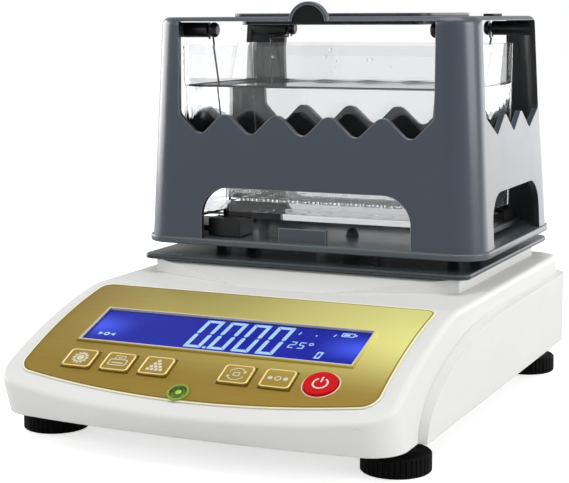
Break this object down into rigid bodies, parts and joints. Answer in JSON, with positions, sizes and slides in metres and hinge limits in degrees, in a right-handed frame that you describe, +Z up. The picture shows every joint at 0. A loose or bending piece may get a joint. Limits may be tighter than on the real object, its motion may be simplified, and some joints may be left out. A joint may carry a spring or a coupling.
{
  "type": "electronic gold tester",
  "caption": "Precision balance with a sloping keypad and display, a windowed frame on its pan and a clear water tank inside for density weighing.",
  "frame": {"origin": "on the table, midway between the four levelling feet", "axes": "+Z up, +X to the user's right, +Y from the keypad to the rear"},
  "size_m": [0.2056, 0.2865, 0.2022],
  "materials": {
    "white_abs": "smooth, satin",
    "steel": "plain",
    "wire_steel": "thin bright wire",
    "black_rubber": "ribbed, matte",
    "black_abs": "matte",
    "gold_film": "brushed gold film, fine outline",
    "cream_plastic": "pale bezel",
    "lcd_clear": "clear window",
    "lcd_blue": "blue backlit display with pale digits",
    "gold_key": "gold film key with a pale outline and a plain pictogram",
    "power_red": "glossy red with a white ring mark",
    "circuit_board": "green board",
    "level_ring": "green ring",
    "level_green": "green liquid under a clear lens",
    "aluminium": "machined",
    "dark_grey_abs": "smooth, glossy",
    "grey_abs": "satin blue-grey",
    "clear_acrylic": "clear, polished",
    "basket_clear": "clear, perforated"
  },
  "bodies": {
    "base": {"housing_top": "white_abs", "housing_bottom": "white_abs", "case_screw_front_left": "steel", "case_screw_front_right": "steel", "case_screw_rear_left": "steel", "case_screw_rear_right": "steel", "panel_overlay": "gold_film", "lcd_bezel": "cream_plastic", "lcd_window": "lcd_clear", "lcd_module": "lcd_blue", "switch_set": "black_abs", "switch_print": "black_abs", "switch_enter": "black_abs", "switch_mode": "black_abs", "switch_zero": "black_abs", "switch_power": "black_abs", "keypad_board": "circuit_board", "level_cup": "level_ring", "level_lens": "level_green", "cell_spacer": "aluminium", "load_cell": "aluminium", "lower_tray": "dark_grey_abs", "tank_stand": "black_abs", "main_board": "circuit_board", "dc_inlet": "black_abs", "serial_socket": "black_abs"},
    "pan": {"pan_bracket": "aluminium", "pan_post": "aluminium", "upper_tray": "grey_abs", "tray_tab": "grey_abs", "tray_stud": "black_abs"},
    "frame": {"cage": "grey_abs", "lug_insert": "black_abs", "rail_pad": "black_abs", "hook_arm_front_left": "black_abs", "hook_arm_front_right": "black_abs", "hook_arm_rear_left": "black_abs", "hook_arm_rear_right": "black_abs"},
    "dish": {"dish_plate": "dark_grey_abs"},
    "hanging_basket": {"basket": "basket_clear", "wire_front_left": "wire_steel", "wire_front_right": "wire_steel", "wire_rear_left": "wire_steel", "wire_rear_right": "wire_steel"},
    "water_tank": {"tank": "clear_acrylic"},
    "key_set": {"key_set": "gold_key"},
    "key_print": {"key_print": "gold_key"},
    "key_enter": {"key_enter": "gold_key"},
    "key_mode": {"key_mode": "gold_key"},
    "key_zero": {"key_zero": "gold_key"},
    "key_power": {"key_power": "power_red"},
    "foot_front_left": {"foot_knob_front_left": "black_rubber", "foot_stud_front_left": "steel"},
    "foot_front_right": {"foot_knob_front_right": "black_rubber", "foot_stud_front_right": "steel"},
    "foot_rear_left": {"foot_knob_rear_left": "black_rubber", "foot_stud_rear_left": "steel"},
    "foot_rear_right": {"foot_knob_rear_right": "black_rubber", "foot_stud_rear_right": "steel"}
  },
  "joints": [
    {"name": "pan_travel", "type": "slide", "parent": "base", "child": "pan", "axis": [0, 0, 1], "range_m": [-0.0003, 0], "stiffness_N_per_m": 30000, "springref_m": 0.001},
    {"name": "frame_lift", "type": "slide", "parent": "pan", "child": "frame", "axis": [0, 0, 1], "range_m": [0, 0.12]},
    {"name": "dish_lift", "type": "slide", "parent": "frame", "child": "dish", "axis": [0, 0, 1], "range_m": [0, 0.04]},
    {"name": "basket_lift", "type": "slide", "parent": "frame", "child": "hanging_basket", "axis": [0, 0, 1], "range_m": [0, 0.0008]},
    {"name": "tank_lift", "type": "slide", "parent": "base", "child": "water_tank", "axis": [0, 0, 1], "range_m": [0, 0.002]},
    {"name": "press_set", "type": "slide", "parent": "base", "child": "key_set", "axis": [0, 0.4256, -0.9049], "range_m": [0, 0.0008], "stiffness_N_per_m": 500, "springref_m": -0.001},
    {"name": "press_print", "type": "slide", "parent": "base", "child": "key_print", "axis": [0, 0.4256, -0.9049], "range_m": [0, 0.0008], "stiffness_N_per_m": 500, "springref_m": -0.001},
    {"name": "press_enter", "type": "slide", "parent": "base", "child": "key_enter", "axis": [0, 0.4256, -0.9049], "range_m": [0, 0.0008], "stiffness_N_per_m": 500, "springref_m": -0.001},
    {"name": "press_mode", "type": "slide", "parent": "base", "child": "key_mode", "axis": [0, 0.4256, -0.9049], "range_m": [0, 0.0008], "stiffness_N_per_m": 500, "springref_m": -0.001},
    {"name": "press_zero", "type": "slide", "parent": "base", "child": "key_zero", "axis": [0, 0.4256, -0.9049], "range_m": [0, 0.0008], "stiffness_N_per_m": 500, "springref_m": -0.001},
    {"name": "press_power", "type": "slide", "parent": "base", "child": "key_power", "axis": [0, 0.4256, -0.9049], "range_m": [0, 0.0008], "stiffness_N_per_m": 500, "springref_m": -0.001},
    {"name": "foot_turn_front_left", "type": "hinge", "parent": "base", "child": "foot_front_left", "pos_m": [-0.0871, -0.1026, 0], "axis": [0, 0, 1], "continuous": true},
    {"name": "foot_turn_front_right", "type": "hinge", "parent": "base", "child": "foot_front_right", "pos_m": [0.0871, -0.1026, 0], "axis": [0, 0, 1], "continuous": true},
    {"name": "foot_turn_rear_left", "type": "hinge", "parent": "base", "child": "foot_rear_left", "pos_m": [-0.0871, 0.1026, 0], "axis": [0, 0, 1], "continuous": true},
    {"name": "foot_turn_rear_right", "type": "hinge", "parent": "base", "child": "foot_rear_right", "pos_m": [0.0871, 0.1026, 0], "axis": [0, 0, 1], "continuous": true}
  ]
}
